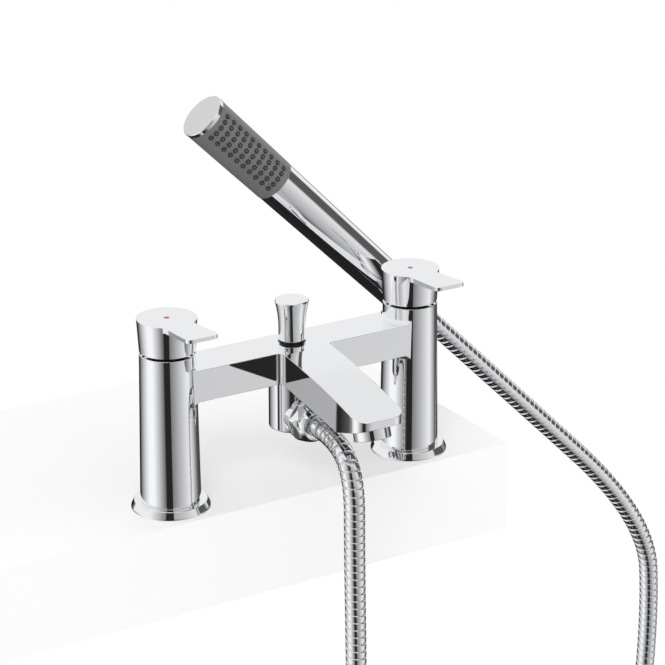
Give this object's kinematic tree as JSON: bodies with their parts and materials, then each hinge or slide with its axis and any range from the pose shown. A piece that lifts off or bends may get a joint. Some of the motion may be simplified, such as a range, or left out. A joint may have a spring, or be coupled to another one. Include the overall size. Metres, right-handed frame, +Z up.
{
  "type": "bath shower mixer tap",
  "caption": "Deck-mounted bath mixer with lever handles, flat spout, pull-up diverter, metal hose and a stick hand shower in a holder.",
  "frame": {"origin": "on the deck, midway between the centres of the two tails, at the flanges' feet", "axes": "+X from the hot pillar to the cold pillar, -Y forward along the spout, +Z up"},
  "size_m": [0.4384, 0.174, 0.6726],
  "materials": {
    "chrome": "polished",
    "hose_chrome": "polished",
    "brass": "turned",
    "steel": "plain",
    "rubber": "matt",
    "ceramic": "polished",
    "dark_neck": "satin",
    "hot_dot": "gloss",
    "cold_dot": "gloss",
    "pale_plastic": "matt",
    "satin_cap": "satin",
    "spray_grey": "satin"
  },
  "bodies": {
    "mixer": {"hot_pillar": "chrome", "hot_flange": "chrome", "hot_tail": "brass", "hot_backnut": "brass", "hot_sealing_washer": "rubber", "hot_seat_washer": "rubber", "hot_fixed_disc": "ceramic", "hot_cartridge": "dark_neck", "cold_pillar": "chrome", "cold_flange": "chrome", "cold_tail": "brass", "cold_backnut": "brass", "cold_sealing_washer": "rubber", "cold_seat_washer": "rubber", "cold_fixed_disc": "ceramic", "cold_cartridge": "dark_neck", "bridge_and_spout": "chrome", "aerator_housing": "chrome", "diverter_body": "chrome", "diverter_plug": "chrome", "outlet_hose_nut": "chrome", "outlet_ferrule": "chrome", "holder": "chrome", "diverter_gland": "dark_neck", "outlet_nipple": "brass", "aerator_washer": "rubber", "outlet_washer": "rubber", "aerator_insert": "pale_plastic", "diverter_spring": "steel", "holder_stud": "steel", "shower_hose": "hose_chrome"},
    "hot_handle": {"hot_lever": "chrome", "hot_spindle": "brass", "hot_moving_disc": "ceramic", "hot_dot": "hot_dot", "hot_grub_screw": "steel"},
    "cold_handle": {"cold_lever": "chrome", "cold_spindle": "brass", "cold_moving_disc": "ceramic", "cold_dot": "cold_dot", "cold_grub_screw": "steel"},
    "diverter": {"diverter_knob": "chrome", "diverter_stem": "brass", "stem_nut": "brass", "shower_washer": "rubber", "spout_washer": "rubber"},
    "hose_cone": {"cone_nut": "chrome", "cone_washer": "rubber", "cone_ferrule": "chrome"},
    "handset": {"handset_end_cap": "satin_cap", "handset_rim": "chrome", "spray_sleeve": "spray_grey", "handset_tube": "chrome", "handset_connector": "brass", "water_tube": "pale_plastic"}
  },
  "joints": [
    {"name": "hot_turn", "type": "hinge", "parent": "mixer", "child": "hot_handle", "pos_m": [-0.09, 0, 0.12], "axis": [0, 0, 1], "range_deg": [-90, 0]},
    {"name": "cold_turn", "type": "hinge", "parent": "mixer", "child": "cold_handle", "pos_m": [0.09, 0, 0.12], "axis": [0, 0, 1], "range_deg": [0, 90]},
    {"name": "diverter_lift", "type": "slide", "parent": "mixer", "child": "diverter", "axis": [0, 0, 1], "range_m": [0, 0.009], "stiffness_N_per_m": 120, "springref_m": -0.01, "deforming": ["diverter_spring"]},
    {"name": "handset_lift", "type": "slide", "parent": "mixer", "child": "hose_cone", "axis": [-0.7065, 0.0655, 0.7046], "range_m": [0, 0.05]},
    {"name": "handset_swivel", "type": "hinge", "parent": "hose_cone", "child": "handset", "pos_m": [-0.0356, 0.05, 0.236], "axis": [0.7065, -0.0655, -0.7046], "continuous": true}
  ]
}
